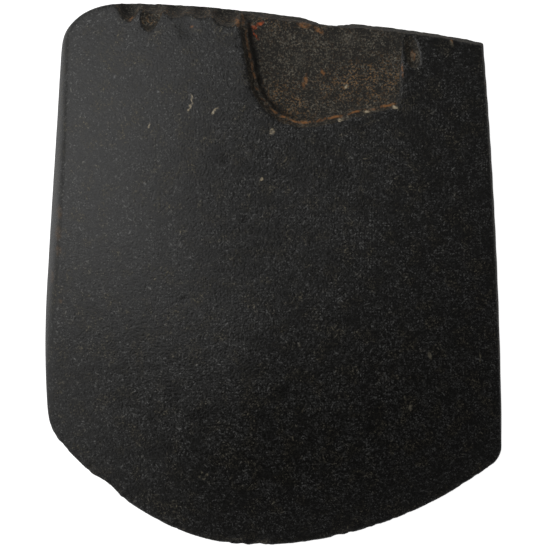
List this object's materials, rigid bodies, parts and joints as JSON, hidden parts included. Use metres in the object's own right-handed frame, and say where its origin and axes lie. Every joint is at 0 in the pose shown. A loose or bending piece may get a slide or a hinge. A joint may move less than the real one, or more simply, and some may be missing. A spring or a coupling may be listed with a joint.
{
  "type": "polished stone axe",
  "caption": "Broad axe head of dark ground and polished stone, with a curved cutting edge, narrow flat sides and a broken butt.",
  "frame": {"origin": "middle of the plan, on the surface that the axe lies on", "axes": "+Y from the cutting edge to the butt, +X across the blade, +Z out of the front face"},
  "size_m": [0.0912, 0.1082, 0.026],
  "materials": {
    "stone": "ground and polished, semi-matt"
  },
  "bodies": {
    "root": {"axe_head": "stone"}
  },
  "joints": []
}
